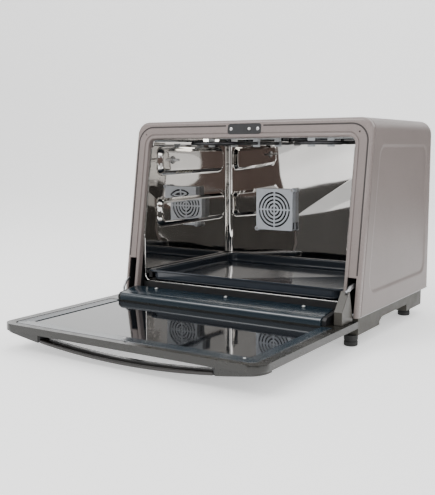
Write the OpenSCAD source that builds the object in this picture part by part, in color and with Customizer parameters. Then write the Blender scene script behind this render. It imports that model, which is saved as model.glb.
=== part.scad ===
// Countertop air fryer oven with a drop-down glass door, drawn with the door open.
// +X runs to the viewer's right, +Y runs back and +Z runs up. The feet stand on Z = 0.
// Most modules are drawn in the oven frame, whose Y = 0, Z = 0 line is the lower front
// edge of the body. place() then moves them so that the origin is the centre of the
// footprint. lean() tilts a shape drawn upright so that it lies in the raked front face.

/* [Body] */
// Outer width of the body
body_w = 500; // [480:5:540]
// Height of the body above its base pan
body_h = 333; // [328:1:345]
// Depth of the body at its base
body_d = 364; // [360:1:390]
// Backward lean of the front face in degrees
rake = 8.9; // [8:0.1:10]
// Outside radius of the two long top corners
corner_r = 24; // [20:1:28]
// Outside radius where the top rolls down at the back
rear_roll_r = 18; // [14:1:22]
// Sheet thickness of the outer shell
shell_t = 2.2; // [2:0.1:3]
// Depth of the pressed motor housing on the rear panel
rear_bulge = 44.8; // [44:0.1:60]

/* [Base] */
// Height of the plinth below the base pan
plinth_h = 30.5; // [28:0.5:40]
// Height of each foot below the plinth
foot_h = 19; // [10:1:24]
// Radius of each foot
foot_r = 12; // [10:0.5:13]

/* [Cavity] */
// Inside width of the oven cavity
cavity_w = 434; // [430:1:434]
// Height of the cavity floor
floor_z = 20; // [19:0.5:21]
// Height of the cavity ceiling
ceiling_z = 303; // [300:1:304]
// Distance of the cavity's back wall behind the lower front edge
back_y = 339; // [335:1:340]
// Width of the opening in the front frame
opening_w = 440; // [438:1:441]

/* [Fan] */
// Sideways place of the convection fan
fan_x = -89; // [-100:1:-60]
// Height of the convection fan above the base pan
fan_z = 146; // [140:1:160]
// Side length of the square fan cover
fan_cover_w = 91; // [88:1:96]

/* [Door] */
// Reach of the open door in front of the body
door_reach = 320; // [318:1:322]
// Thickness of the door's rim
door_t = 11.6; // [11:0.1:14]
// Drop of the handle's bow below the door at mid width
handle_drop = 25.4; // [22:0.1:30]
// Radius of the control dial
dial_r = 16; // [12:0.5:17]

/* [Hidden] */
$fn = 64;
slack = 1;                       // how far a cutting shape runs past what it cuts

// Colours
shell_grey = [0.62, 0.58, 0.57];
frame_grey = [0.66, 0.62, 0.61];
base_olive = [0.36, 0.35, 0.31];
black = [0.07, 0.07, 0.08];
steel = [0.78, 0.79, 0.82];
glass_dark = [0.12, 0.13, 0.16, 0.8];

// Where the oven frame sits
panel_t = 1.2;                   // sheet of the rear panel
rear_y = body_d + panel_t + rear_bulge;
front_y = (door_reach - rear_y) / 2;
pan_t = 1.5;                     // sheet of the base pan
plinth_bottom = -pan_t - plinth_h;
base_z = foot_h - plinth_bottom;

// Front frame, measured in the leaning plane: x across, u up the slope, w into the body
frame_t = 3;                     // thickness of the face
frame_skirt = 12;                // depth of the skirt behind the face
lip_t = 1.5;                     // thickness of the lip round the opening
opening_top = 304.7;
opening_r = 13;
bead_w = 7;                      // width of the bead round the opening
bead_groove_w = 1.8;             // groove that sets the bead off from the face
bead_groove_d = 1.5;
ring_half = 243;                 // half width of the gasket ring
ring_top = 326.5;
ring_r = 31;
gasket_w = 2.6;
gasket_d = 1.4;                  // depth of the gasket's groove
gasket_proud = 0.7;
seam = 1.6;                      // open seam between the frame and the shell

// Latch plate in the top of the frame
latch_w = 72;
latch_u0 = 310.5;
latch_u1 = 330.5;
latch_r = 6;
latch_seat = 1.6;
latch_screw_x = 28.5;
plunger_x = 11;
plunger_u = 320.5;
plunger_r = 2.5;
plunger_proud = 3;

// Door hinge
hinge_y = 7.5;
hinge_z = 3;
slot_x0 = 226;                   // slots in the frame's legs that take the hinges
slot_x1 = 242.5;
slot_top = 67;
pin_r = 2.5;
running_gap = 0.05;
arm_r0 = 46;                     // check arm, an arc about the hinge axis
arm_r1 = 54;
arm_x0 = 236.8;
arm_x1 = 239.6;
leaf_x0 = 230;
leaf_x1 = 233.5;

// Door, drawn open, with its inner side up
door_top = -5;
door_bottom = door_top - door_t;
door_hinge_end = 3;
rim_side = 16.5;                 // rim width along the sides
rim_free = 12.5;                 // rim width along the free edge
rail_y = -60;                    // front of the rail that carries the hinges
trim_gap = 1;                    // groove between the rim and the inner trim
glass_half = 212;
glass_free_y = -280;
shelf_z = -9.8;                  // shelf under the inner glass and its trim
outer_glass_t = 3.2;

// Control housing on the door's hinge rail
housing_half = 211;
housing_back = -8;
housing_front_z = 8;
housing_back_z = 15;
housing_wall = 1.6;
housing_nose_r = 6.5;            // radius of the housing's rounded front edge
cap_half = 219;
// Slope of the housing's top, from its front edge up to its back
housing_slope = atan((housing_back_z - housing_front_z) / (housing_back - rail_y - housing_nose_r));
housing_screw_x = [-158, 0, 158];
housing_screw_y = -15;
housing_screw_z = housing_back_z - (housing_back - housing_screw_y) * tan(housing_slope);

// Control dial on the door's outer face, under the control board
dial_pos = [96, -38];
dial_shaft_r = 3;
dial_gap = 0.5;                  // air between the dial and the glass
dial_h = 13;
board_z = -1;                    // underside of the control board

// Handle
handle_front = -312;
handle_back = -288;
bow_r = 1375;                    // radius of the handle's bow
bar_half = 169;
mount_in = 172;                  // inner end of each handle mount
bar_t = 7;

// Cavity details
liner_t = 1.2;
liner_r = 12;                    // inside radius of the liner's long edges
liner_front_y = 26;
flange_top = 284;                // where the liner's side flanges end
rib_d = 8;                       // how far the shelf ribs stand into the cavity
upper_rib = [70, 230, 311, 282]; // y0, z0, y1, z1
lower_rib = [67, 125, 315, 181];
probe_pos = [111, 258];          // place of the probe on the left wall, along Y and Z
rib_r = 14;
vent_count = 6;
fan_cover_d = 15;
shaft_r = 3;
heater_r = 3.25;
top_heater_z = 291;
bottom_heater_z = 10.5;
heater_loops = [[-172, -62], [62, 172]];
lamp_pos = [-188, 222];
lamp_hole_r = 19;

// Baking tray
tray_half = 202;
tray_rim = 214;
tray_y0 = 28;
tray_y1 = 330;
tray_z = floor_z + 0.3;
tray_top = 41;
tray_t = 1.2;

// Rear and base
panel_half = 224;
panel_z0 = 14;
panel_z1 = 309;
window_inset = 10;
housing_x = 168;                 // half width of the motor housing
housing_z0 = 66;
housing_z1 = 264;
gland_pos = [185, 36];
foot_front = [231, 18];
foot_rear = [222, 300];
grip_y0 = 112;                   // hand grips in the plinth's sides
grip_y1 = 250;
grip_z = -19;
grip_depth = 26;
foot_pos = [
    [foot_front.x, foot_front.y], [-foot_front.x, foot_front.y],
    [foot_rear.x, foot_rear.y], [-foot_rear.x, foot_rear.y],
];
rear_screw_pos = [
    for (x = [-216, -72, 72, 216]) [x, panel_z1 - 7],
    for (x = [-216, -72, 72]) [x, panel_z0 + 7],
    [216, panel_z0 + 50],
];

// ---------------------------------------------------------------- shape helpers

// Moves a shape from the oven frame to the part's own origin
module place() {
    translate([0, front_y, base_z]) children();
}

// Tilts an upright shape into the plane of the raked front
module lean() {
    rotate([-rake, 0, 0]) children();
}

// Extrudes an outline drawn in X and Z along Y, from y0 to y1
module along_y(y0, y1) {
    translate([0, y1, 0]) rotate([90, 0, 0]) linear_extrude(y1 - y0) children();
}

// Extrudes an outline drawn in Y and Z along X, from x0 to x1
module along_x(x0, x1) {
    translate([x0, 0, 0]) rotate([90, 0, 90]) linear_extrude(x1 - x0) children();
}

// Box given by its two opposite corners
module block(low, high) {
    translate(low) cube(high - low);
}

module both_sides() {
    children();
    mirror([1, 0, 0]) children();
}

// Rectangle with four round corners
module rounded(x0, y0, x1, y1, r) {
    translate([x0 + r, y0]) square([x1 - x0 - 2 * r, y1 - y0]);
    translate([x0, y0 + r]) square([x1 - x0, y1 - y0 - 2 * r]);
    for (x = [x0 + r, x1 - r], y = [y0 + r, y1 - r])
        translate([x, y]) circle(r);
}

// Upright outline with round top corners and a square foot
module arch(half, bottom, top, r) {
    translate([-half, bottom]) square([2 * half, top - bottom - r]);
    translate([-half + r, bottom]) square([2 * (half - r), top - bottom]);
    for (x = [-half + r, half - r])
        translate([x, top - r]) circle(r);
}

// Round rod along Y
module rod_y(x, z, r, y0, y1) {
    translate([x, y0, z]) rotate([-90, 0, 0]) cylinder(r = r, h = y1 - y0);
}

// Round rod along X
module rod_x(y, z, r, x0, x1) {
    translate([x0, y, z]) rotate([0, 90, 0]) cylinder(r = r, h = x1 - x0);
}

// Screw with a domed pan head; the head's underside is at z = 0 and the shank points down
module screw(head_r, head_h, shank_r, shank_l) {
    rotate_extrude()
        polygon([
            [0, -shank_l], [shank_r, -shank_l], [shank_r, 0], [head_r, 0],
            [head_r, head_h * 0.45], [head_r * 0.6, head_h * 0.9], [0, head_h],
        ]);
}

// Screw driven forwards into the rear, with its head pointing along +Y
module rear_screw(x, y, z, head_r, head_h, shank_r, shank_l) {
    translate([x, y, z]) rotate([-90, 0, 0]) screw(head_r, head_h, shank_r, shank_l);
}

// Distance back to the raked plane that lies w behind the front face, at height z
function raked_y(z, w) = z * tan(rake) + w / cos(rake);

// ---------------------------------------------------------------- body shells

// Side view of the shell: raked front edge, flat base and a rolled upper rear edge
module shell_side(inset, front_w, bottom) {
    top = body_h - inset;
    back = body_d - inset;
    r = rear_roll_r - inset;
    polygon([
        [raked_y(bottom, front_w), bottom], [back, bottom], [back, top - r],
        [back - r, top], [raked_y(top, front_w), top],
    ]);
    translate([back - r, top - r]) circle(r);
}

module shell_solid(inset, front_w, bottom) {
    intersection() {
        along_y(-slack, body_d + slack) arch(body_w / 2 - inset, bottom, body_h - inset, corner_r - inset);
        along_x(-body_w, body_w) shell_side(inset, front_w, bottom);
    }
}

// Shallow panel pressed into each side, with its front edge parallel to the raked front
module side_panel_outline() {
    y_front = 44;
    y_back = body_d - 33;
    z0 = 36;
    z1 = body_h - 48;
    r = 22;
    run = r / cos(rake);
    low_y = y_front + z0 * tan(rake) + run;
    high_y = y_front + (z1 - r) * tan(rake) + run;
    tangent = [-r * cos(rake), r * sin(rake)];
    polygon([
        [low_y, z0], [y_back - r, z0], [y_back, z0 + r], [y_back, z1 - r],
        [y_back - r, z1], [high_y, z1], [high_y, z1 - r] + tangent, [low_y, z0 + r] + tangent,
    ]);
    for (c = [[low_y, z0 + r], [y_back - r, z0 + r], [y_back - r, z1 - r], [high_y, z1 - r]])
        translate(c) circle(r);
}

module outer_shell() {
    panel_depth = 1;
    color(shell_grey) place() difference() {
        shell_solid(0, frame_skirt + seam, 0);
        shell_solid(shell_t, frame_skirt - slack, -slack);
        along_y(body_d - 2 * shell_t, body_d + slack)
            rounded(-panel_half + window_inset, panel_z0 + window_inset,
                panel_half - window_inset, panel_z1 - window_inset, 4);
        both_sides() along_x(body_w / 2 - panel_depth, body_w / 2 + slack) side_panel_outline();
        for (p = rear_screw_pos) rod_y(p.x, p.y, 1.7, body_d - 5, body_d + slack);
    }
}

// Strip inside the seam that joins the frame's skirt to the shell
module seam_strip() {
    strip_t = 1.2;
    color(black) place() difference() {
        intersection() {
            shell_solid(shell_t, 0, 0);
            raked_slice(frame_skirt - 6, frame_skirt + 10);
        }
        shell_solid(shell_t + strip_t, -slack, -slack);
    }
}

module rear_panel() {
    slot_count = 16;
    slot_pitch = 17;
    color(shell_grey) place() difference() {
        along_y(body_d, body_d + panel_t) rounded(-panel_half, panel_z0, panel_half, panel_z1, 8);
        along_y(body_d - slack, body_d + panel_t + slack)
            rounded(-housing_x + 12, housing_z0 + 12, housing_x - 12, housing_z1 - 12, 14);
        for (i = [0 : slot_count - 1])
            along_y(body_d - slack, body_d + panel_t + slack)
                translate([(i - (slot_count - 1) / 2) * slot_pitch, 284]) rounded(-3, -10, 3, 10, 2.9);
        for (p = rear_screw_pos) rod_y(p.x, p.y, 1.7, body_d - slack, body_d + panel_t + slack);
        rod_y(gland_pos.x, gland_pos.y, 9, body_d - slack, body_d + panel_t + slack);
    }
}

// Pressed cover over the motor, with a flange against the rear panel
module rear_housing() {
    wall = 1.6;
    y0 = body_d + panel_t;
    slot_count = 9;
    slot_pitch = 22;
    color(black) place() difference() {
        union() {
            along_y(y0, y0 + wall) rounded(-housing_x, housing_z0, housing_x, housing_z1, 22);
            along_y(y0, rear_y) rounded(-housing_x + 10, housing_z0 + 10, housing_x - 10, housing_z1 - 10, 18);
        }
        along_y(y0 - slack, rear_y - wall)
            rounded(-housing_x + 10 + wall, housing_z0 + 10 + wall, housing_x - 10 - wall,
                housing_z1 - 10 - wall, 18 - wall);
        for (i = [0 : slot_count - 1], z = [115, 165, 215])
            along_y(rear_y - 2 * wall, rear_y + slack)
                translate([(i - (slot_count - 1) / 2) * slot_pitch, z]) rounded(-3, -18, 3, 18, 2.9);
    }
}

module rear_screws() {
    color(steel) place()
        for (p = rear_screw_pos) rear_screw(p.x, body_d + panel_t, p.y, 3.6, 2.2, 1.7, 4);
}

module base_pan() {
    arm_slot = 4;
    tongue_half = opening_w / 2 + 5;
    color(steel) place() difference() {
        union() {
            block([-body_w / 2 + 1.5, 16, -pan_t], [body_w / 2 - 1.5, body_d - 2, 0]);
            block([-tongue_half, 4, -pan_t], [tongue_half, 17, 0]);
        }
        both_sides() block([arm_x0 - arm_slot, 30, -pan_t - slack], [arm_x1 + arm_slot, 66, slack]);
    }
}

// Outline of the plinth in plan, with round rear corners
module plinth_plan(inset) {
    half = body_w / 2 - 5 - inset;
    y0 = 15 + inset;
    y1 = body_d - 14 - inset;
    r = 20 - inset;
    translate([-half, y0]) square([2 * half, y1 - y0 - r]);
    translate([-half + r, y0]) square([2 * (half - r), y1 - y0]);
    for (x = [-half + r, half - r])
        translate([x, y1 - r]) circle(r);
}

// Side view of a hand grip under the plinth's edge
module grip_outline(grow) {
    polygon([
        [grip_y0 - grow, plinth_bottom - slack], [grip_y1 + grow, plinth_bottom - slack],
        [grip_y1 + grow, grip_z + grow], [grip_y0 + 12 - grow / 2, grip_z + grow],
        [grip_y0 - grow, grip_z - 6 + grow / 2],
    ]);
}

module plinth() {
    wall = 3;
    edge = body_w / 2 - 5;
    color(base_olive) place() difference() {
        translate([0, 0, plinth_bottom]) linear_extrude(plinth_h) plinth_plan(0);
        difference() {
            translate([0, 0, plinth_bottom + 2]) linear_extrude(plinth_h) plinth_plan(wall);
            both_sides() along_x(edge - grip_depth - wall, edge + slack) grip_outline(wall);
            for (p = foot_pos) translate([p.x, p.y, plinth_bottom]) cylinder(r = 13, h = plinth_h);
        }
        both_sides() along_x(edge - grip_depth, edge + slack) grip_outline(0);
    }
}

module feet() {
    round = 3;
    color(black) place()
        for (p = foot_pos)
            translate([p.x, p.y, plinth_bottom - foot_h])
                rotate_extrude() {
                    square([foot_r - round, foot_h]);
                    translate([0, round]) square([foot_r, foot_h - round]);
                    translate([foot_r - round, round]) circle(round);
                }
}

// ---------------------------------------------------------------- front frame

// Everything between two raked planes, w0 and w1 behind the front face
module raked_slice(w0, w1) {
    lean() block([-body_w, w0, -body_h], [body_w, w1, 2 * body_h]);
}

module opening_outline(grow, bottom) {
    arch(opening_w / 2 + grow, bottom, opening_top + grow, opening_r + grow);
}

// Gasket ring, broken at the latch plate and stopped above the hinge slots
module gasket_ring(width) {
    difference() {
        arch(ring_half + width / 2, slot_top + 4, ring_top + width / 2, ring_r + width / 2);
        arch(ring_half - width / 2, slot_top, ring_top - width / 2, ring_r - width / 2);
        translate([-latch_w / 2 - 4, ring_top - 20]) square([latch_w + 8, 40]);
    }
}

module bead_groove() {
    difference() {
        opening_outline(bead_w + bead_groove_w, -20);
        opening_outline(bead_w, -20 - slack);
    }
}

module front_frame() {
    vent_hole = [227, 312.5];
    color(frame_grey) place() difference() {
        intersection() {
            along_y(-slack, body_d) arch(body_w / 2, 0, body_h, corner_r);
            raked_slice(0, frame_skirt);
        }
        difference() {
            intersection() {
                along_y(-slack, body_d)
                    arch(body_w / 2 - shell_t, -slack, body_h - shell_t, corner_r - shell_t);
                raked_slice(frame_t, frame_skirt + slack);
            }
            lean() along_y(frame_t - slack, frame_skirt + 2 * slack) opening_outline(lip_t, -10);
        }
        lean() {
            along_y(-slack, frame_skirt + slack) opening_outline(0, -20);
            along_y(-slack, bead_groove_d) bead_groove();
            along_y(-slack, gasket_d) gasket_ring(gasket_w);
            both_sides() along_y(-slack, frame_skirt + slack)
                translate([slot_x0, -20]) square([slot_x1 - slot_x0, slot_top + 20]);
            along_y(-slack, latch_seat) rounded(-latch_w / 2, latch_u0, latch_w / 2, latch_u1, latch_r);
            rod_y(plunger_x, plunger_u, plunger_r + 0.4, 0, frame_t + slack);
            for (x = [-latch_screw_x, latch_screw_x])
                rod_y(x, (latch_u0 + latch_u1) / 2, 1.5, 0, frame_t + slack);
            both_sides() rod_y(vent_hole.x, vent_hole.y, 1.5, -slack, frame_t + slack);
        }
    }
}

module door_gasket() {
    color(black) place() lean()
        along_y(-gasket_proud, gasket_d) gasket_ring(gasket_w);
}

module latch_plate() {
    color(black) place() lean() difference() {
        along_y(0.1, latch_seat) rounded(-latch_w / 2 + 0.2, latch_u0 + 0.2, latch_w / 2 - 0.2,
            latch_u1 - 0.2, latch_r - 0.2);
        rod_y(plunger_x, plunger_u, plunger_r + running_gap, 0, latch_seat + slack);
        for (x = [-latch_screw_x, latch_screw_x])
            rod_y(x, (latch_u0 + latch_u1) / 2, 1.5, 0, latch_seat + slack);
    }
}

module latch_screws() {
    color(steel) place() lean()
        for (x = [-latch_screw_x, latch_screw_x])
            translate([x, 0.1, (latch_u0 + latch_u1) / 2]) rotate([90, 0, 0]) screw(3, 0.7, 1.5, 3.5);
}

// Switch behind the latch plate; its bore guides the plunger
module door_switch() {
    color(black) place() lean() difference() {
        block([plunger_x - 8, frame_t, plunger_u - 8], [plunger_x + 8, 13, plunger_u + 6]);
        rod_y(plunger_x, plunger_u, plunger_r + running_gap, 0, 12);
    }
}

module door_switch_plunger() {
    nose = 1.2;
    color("white") place() lean() translate([plunger_x, -plunger_proud, plunger_u]) rotate([-90, 0, 0])
        rotate_extrude()
            polygon([[0, 0], [plunger_r - nose, 0], [plunger_r, nose], [plunger_r, 11], [0, 11]]);
}

// Black sill under the mouth of the cavity, behind the door's control housing
module front_sill() {
    half = opening_w / 2 - 1;
    color(black) place() {
        block([-half, liner_front_y - 2, 0], [half, liner_front_y - 0.4, floor_z - 1.6]);
        block([-half, 1.5, 0], [half, liner_front_y - 2, 1.6]);
    }
}

// ---------------------------------------------------------------- cavity

module liner_outline(grow) {
    rounded(-cavity_w / 2 - grow, floor_z - grow, cavity_w / 2 + grow, ceiling_z + grow, liner_r + grow);
}

// Side view of the liner: it follows the raked front above the sill, and its top starts
// behind the frame's lip, whose corners are wider than the liner's
module liner_side() {
    lip_w = 7;
    top_w = frame_skirt + 0.3;
    knee_z = 110;
    polygon([
        [liner_front_y, 0], [back_y, 0], [back_y, body_h], [raked_y(body_h, top_w), body_h],
        [raked_y(flange_top, top_w), flange_top], [raked_y(flange_top, lip_w), flange_top],
        [raked_y(knee_z, lip_w), knee_z], [liner_front_y, knee_z - 4],
    ]);
}

// Shelf rib pressed inwards; inset gives the hollow behind its sheet
module shelf_rib(rib, inset) {
    x0 = cavity_w / 2 - rib_d + inset;
    x1 = cavity_w / 2 + (inset > 0 ? 2 * liner_t : liner_t / 2);
    both_sides() along_x(x0, x1)
        rounded(rib[0] + inset, rib[1] + inset, rib[2] - inset, rib[3] - inset, rib_r - inset);
}

module cavity_liner() {
    vent_y = 134;
    vent_pitch = 10.5;
    vent_z = 233;
    color(steel) place() difference() {
        union() {
            intersection() {
                difference() {
                    along_y(0, back_y) liner_outline(liner_t);
                    along_y(-slack, back_y + slack) liner_outline(0);
                }
                along_x(-body_w, body_w) liner_side();
            }
            shelf_rib(upper_rib, 0);
            shelf_rib(lower_rib, 0);
            both_sides() lean()
                block([cavity_w / 2, 7, 114], [opening_w / 2, 7 + liner_t, flange_top]);
        }
        shelf_rib(upper_rib, liner_t);
        shelf_rib(lower_rib, liner_t);
        for (i = [0 : vent_count - 1])
            along_x(-cavity_w / 2 - 2 * liner_t, -cavity_w / 2 + slack)
                translate([vent_y + i * vent_pitch, vent_z]) rounded(-2.5, -3.5, 2.5, 3.5, 2.4);
        translate([lamp_pos.x, lamp_pos.y, ceiling_z - slack]) cylinder(r = lamp_hole_r, h = 4);
        translate([-cavity_w / 2 - 2 * liner_t, probe_pos.x, probe_pos.y]) rotate([0, 90, 0]) cylinder(r = 4, h = 20);
    }
}

module cavity_back() {
    color(steel) place() difference() {
        along_y(back_y, back_y + liner_t) liner_outline(liner_t);
        rod_y(fan_x, fan_z, 7, back_y - slack, back_y + 2 * liner_t);
        for (loop = heater_loops, x = loop)
            rod_y(x, top_heater_z, heater_r + 0.3, back_y - slack, back_y + 2 * liner_t);
        for (s = fan_screw_pos) rod_y(s.x, s.y, 1.5, back_y - slack, back_y + 2 * liner_t);
    }
}

module tray_guides() {
    color(black) place()
        both_sides() {
            block([tray_half + 1.5, 30, 33], [cavity_w / 2, 42, tray_top - 1.6]);
            block([tray_half + 1.5, 30, 26], [tray_half + 9, 33.5, 33.5]);
        }
}

module insulation_blanket() {
    thickness = 13;
    color([0.85, 0.82, 0.7]) place() difference() {
        along_y(74, back_y - 2)
            arch(cavity_w / 2 + thickness, 6, ceiling_z + thickness, liner_r + thickness);
        along_y(74 - slack, back_y)
            arch(cavity_w / 2 + liner_t, 6 - slack, ceiling_z + liner_t, liner_r + liner_t);
        translate([lamp_pos.x, lamp_pos.y, ceiling_z]) cylinder(r = lamp_hole_r + 3, h = 30);
        translate([-cavity_w / 2 - 30, probe_pos.x, probe_pos.y]) rotate([0, 90, 0]) cylinder(r = 12, h = 30);
    }
}

// ---------------------------------------------------------------- convection fan

ear = 5;
fan_screw_pos = [
    [fan_x - fan_cover_w / 2 + 1, fan_z - fan_cover_w / 2 + 2],
    [fan_x + fan_cover_w / 2 - 1, fan_z + fan_cover_w / 2 - 2],
];
cover_front = back_y - fan_cover_d;

// Concentric air slots, split by a cross
module grille_slots() {
    ring_count = 5;
    ring_pitch = 8;
    first_ring = 5.5;
    slot_w = 3.9;
    bar_w = 3.6;
    difference() {
        for (i = [0 : ring_count - 1])
            difference() {
                circle(first_ring + i * ring_pitch + slot_w / 2);
                circle(first_ring + i * ring_pitch - slot_w / 2);
            }
        square([fan_cover_w, bar_w], center = true);
        square([bar_w, fan_cover_w], center = true);
    }
}

module fan_cover() {
    half = fan_cover_w / 2;
    wall = 1.2;
    color(steel) place() difference() {
        union() {
            along_y(cover_front, back_y) rounded(fan_x - half, fan_z - half, fan_x + half, fan_z + half, 3);
            for (s = fan_screw_pos) rod_y(s.x, s.y, ear, cover_front, back_y);
        }
        along_y(cover_front + wall, back_y + slack) difference() {
            rounded(fan_x - half + wall, fan_z - half + wall, fan_x + half - wall, fan_z + half - wall, 2);
            for (s = fan_screw_pos) translate(s) circle(ear);
        }
        along_y(cover_front - slack, cover_front + wall + slack) translate([fan_x, fan_z]) grille_slots();
        for (s = fan_screw_pos) rod_y(s.x, s.y, 1.5, cover_front - slack, back_y + slack);
        block([fan_x + half - 2 * wall, back_y - 12, fan_z - 42], [fan_x + half + slack, back_y - 2, fan_z - 27]);
    }
}

module fan_cover_screws() {
    color(steel) place()
        for (s = fan_screw_pos)
            translate([s.x, cover_front, s.y]) rotate([90, 0, 0]) screw(2.8, 1.6, 1.5, fan_cover_d + 2);
}

module motor_bracket() {
    post_x = 44;
    post_z = 34;
    color(steel) place() {
        difference() {
            along_y(358, 359.6) translate([fan_x, fan_z]) rounded(-52, -42, 52, 42, 6);
            rod_y(fan_x, fan_z, 6, 350, 362);
        }
        for (x = [-post_x, post_x], z = [-post_z, post_z])
            rod_y(fan_x + x, fan_z + z, 4, back_y + liner_t, 358);
    }
}

module fan_motor() {
    color([0.5, 0.5, 0.52]) place() difference() {
        union() {
            rod_y(fan_x, fan_z, 30, 362, 392);
            rod_y(fan_x, fan_z, 12, 359.6, 396);
            for (z = [-34, 34])
                block([fan_x - 9, 359.6, fan_z + z - 5], [fan_x + 9, 366, fan_z + z + 5]);
        }
        rod_y(fan_x, fan_z, shaft_r + running_gap, 350, 400);
    }
}

module motor_shaft() {
    color(steel) place() rod_y(fan_x, fan_z, shaft_r, 327, 405);
}

module blade_wheel(y0, y1, hub_r, tip_r, count, blade_t) {
    difference() {
        union() {
            rod_y(fan_x, fan_z, hub_r, y0, y1);
            rod_y(fan_x, fan_z, tip_r, y1 - 1, y1);
            for (i = [0 : count - 1])
                translate([fan_x, 0, fan_z]) rotate([0, i * 360 / count, 0])
                    block([hub_r - 1, y0, -blade_t / 2], [tip_r, y1, blade_t / 2]);
        }
        rod_y(fan_x, fan_z, shaft_r, y0 - slack, y1 + slack);
    }
}

module fan_impeller() {
    color([0.55, 0.56, 0.58]) place() blade_wheel(328, 336, 9, 39, 10, 1.2);
}

module cooling_fan() {
    color(black) place() blade_wheel(398, 404, 8, 34, 8, 1.2);
}

// ---------------------------------------------------------------- heaters, lamp and probe

// Hairpin tube that lies flat: two legs joined by a half circle at the front
module hairpin(x0, x1, z, y_front, y_back, r) {
    bend = (x1 - x0) / 2;
    for (x = [x0, x1]) rod_y(x, z, r, y_front + bend, y_back);
    translate([(x0 + x1) / 2, y_front + bend, z]) rotate([0, 0, 180])
        rotate_extrude(angle = 180) translate([bend, 0]) circle(r);
}

module top_heater() {
    color([0.2, 0.2, 0.21]) place()
        for (loop = heater_loops) hairpin(loop[0], loop[1], top_heater_z, 92, 352, heater_r);
}

module bottom_heater() {
    color([0.2, 0.2, 0.21]) place()
        for (loop = heater_loops) hairpin(loop[0], loop[1], bottom_heater_z, 92, 352, heater_r);
}

// Saddle across both legs of a hairpin, standing on a strip that lies on the sheet
module heater_saddle(loop, y, z_tube, z_sheet) {
    up = sign(z_sheet - z_tube);
    strip = 3;
    difference() {
        block([loop[0] - 8, y, min(z_tube - up * 7, z_sheet)], [loop[1] + 8, y + 1.5, max(z_tube - up * 7, z_sheet)]);
        for (x = loop) rod_y(x, z_tube, heater_r, y - slack, y + 3);
        block([loop[0] + 8, y - slack, min(z_tube - up * 8, z_sheet - up * strip)],
            [loop[1] - 8, y + 3, max(z_tube - up * 8, z_sheet - up * strip)]);
    }
}

module heater_brackets() {
    color(steel) place()
        for (loop = heater_loops, y = [200, 290]) {
            heater_saddle(loop, y, top_heater_z, ceiling_z);
            heater_saddle(loop, y, bottom_heater_z, 0);
        }
}

module lamp_lens() {
    dome_r = 17;
    depth = 11;
    color([0.95, 0.95, 0.9, 0.6]) place() translate([lamp_pos.x, lamp_pos.y, ceiling_z])
        rotate_extrude() difference() {
            union() {
                translate([0, 2 - depth]) square([dome_r - 5, depth]);
                translate([0, -4]) square([dome_r, 6]);
                translate([dome_r - 5, -4]) circle(5);
            }
            translate([0, 4 - depth]) square([dome_r - 6, depth]);
            translate([-dome_r, -3 * dome_r]) square([dome_r, 6 * dome_r]);
        }
}

module lamp_bulb() {
    color("white") place() translate([lamp_pos.x, lamp_pos.y, ceiling_z - 5]) {
        cylinder(r = 5, h = 12);
        translate([0, 0, 12]) cylinder(r = 3, h = 3);
    }
}

module lamp_holder() {
    color(steel) place() translate([lamp_pos.x, lamp_pos.y, ceiling_z]) difference() {
        union() {
            translate([0, 0, liner_t]) cylinder(r = lamp_hole_r + 2, h = 1.2);
            cylinder(r = lamp_hole_r - 1, h = 12);
        }
        translate([0, 0, -slack]) cylinder(r = lamp_hole_r - 2, h = 11);
    }
}

module temperature_probe() {
    x0 = -cavity_w / 2 + rib_d;
    color(steel) place() translate([x0, probe_pos.x, probe_pos.y]) rotate([0, 90, 0]) {
        cylinder(r = 8, h = 2.5, $fn = 6);
        cylinder(r = 2.5, h = 16);
        translate([0, 0, -18]) cylinder(r = 4, h = 18);
    }
}

// ---------------------------------------------------------------- hinges

// Black box behind each frame slot that takes the hinge parts when the door shuts
module hinge_pocket() {
    wall = 1;
    x0 = slot_x0 - 0.6;
    x1 = slot_x1 + 0.6;
    y1 = 65;
    z1 = slot_top + 2;
    difference() {
        intersection() {
            block([x0 - wall, 0, 0], [x1 + wall, y1, z1]);
            raked_slice(frame_t, 3 * body_d);
        }
        block([x0, -slack, -slack], [x1, y1 - wall, z1 - wall]);
        rod_x(hinge_y, hinge_z, pin_r, x0 - 2 * wall, x1 + 2 * wall);
    }
}

module hinge_pocket_left() {
    color(black) place() mirror([1, 0, 0]) hinge_pocket();
}

module hinge_pocket_right() {
    color(black) place() hinge_pocket();
}

module hinge_pin() {
    rod_x(hinge_y, hinge_z, pin_r, slot_x0 - 1.6, slot_x1 + 1.6);
}

module hinge_pin_left() {
    color(steel) place() mirror([1, 0, 0]) hinge_pin();
}

module hinge_pin_right() {
    color(steel) place() hinge_pin();
}

// Steel leaf that turns on the pin and is fixed to the door's rail; crest is its upper edge
module hinge_leaf(crest) {
    foot = [[hinge_y, 9], [hinge_y, -3], [-2, door_top], [-40, door_top]];
    color(steel) place() difference() {
        union() {
            rod_x(hinge_y, hinge_z, 6, leaf_x0, leaf_x1);
            along_x(leaf_x0, leaf_x1) polygon(concat(foot, crest));
        }
        rod_x(hinge_y, hinge_z, pin_r + running_gap, leaf_x0 - slack, leaf_x1 + slack);
    }
}

// The left leaf has no cover and stays low
module hinge_leaf_left() {
    mirror([1, 0, 0]) hinge_leaf([[-40, -1], [-12, 5.5]]);
}

module hinge_leaf_right() {
    hinge_leaf([[-40, 8], [-14, 16]]);
}

// Steel arc about the hinge axis that slides into the body as the door shuts
module check_arm(r0, r1, start, end) {
    color(steel) place() translate([arm_x0, hinge_y, hinge_z]) rotate([90, 0, 90])
        rotate([0, 0, start]) rotate_extrude(angle = end - start)
            translate([r0, 0]) square([r1 - r0, arm_x1 - arm_x0]);
}

// The left arm is short and bare, and stands on the door's rim
module check_arm_left() {
    mirror([1, 0, 0]) difference() {
        check_arm(21.5, 25.5, 100, 206);
        place() block([arm_x0 - slack, -40, door_top - 10], [arm_x1 + slack, 20, door_top]);
    }
}

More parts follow.
